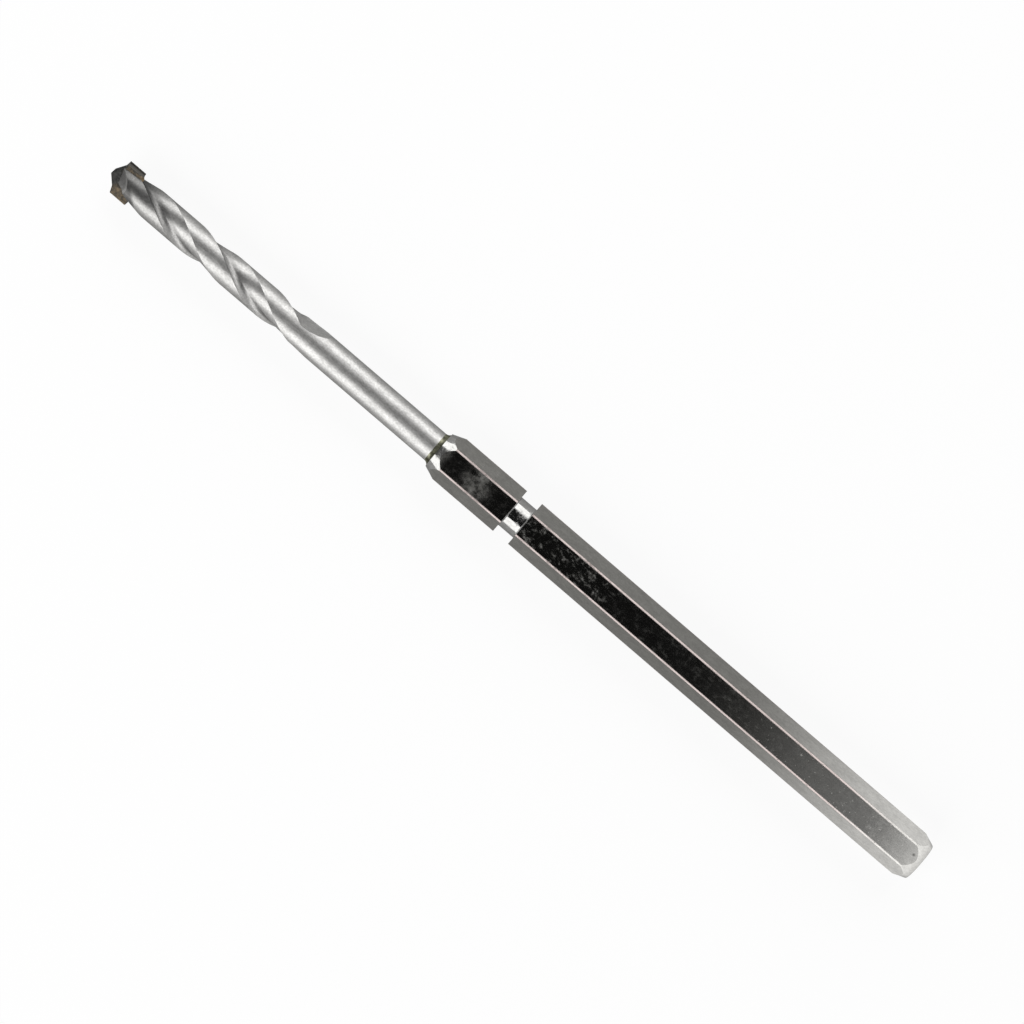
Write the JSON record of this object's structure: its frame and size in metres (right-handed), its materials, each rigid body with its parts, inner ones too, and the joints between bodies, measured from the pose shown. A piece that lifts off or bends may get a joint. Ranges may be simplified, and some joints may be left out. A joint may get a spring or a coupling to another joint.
{
  "type": "pilot drill bit",
  "caption": "Carbide-tipped masonry pilot drill: short fluted steel rod brazed into a long hexagon shank with a turned locking groove.",
  "frame": {"origin": "middle of the shank's flat end face, on the drill's axis", "axes": "+X along the drill's axis towards its point, +Z square out of one flat of the hexagon"},
  "size_m": [0.1831, 0.009, 0.008],
  "materials": {
    "shank_steel": "polished, with warm worn edges",
    "rod_steel": "satin",
    "carbide": "ground tungsten carbide with brown braze stains",
    "tip_filler": "dull, heat-stained",
    "ring_filler": "dark olive, burnt flux"
  },
  "bodies": {
    "root": {"hex_shank": "shank_steel", "drill_body": "rod_steel", "carbide_tip": "carbide", "tip_braze": "tip_filler", "shank_braze": "ring_filler"}
  },
  "joints": []
}
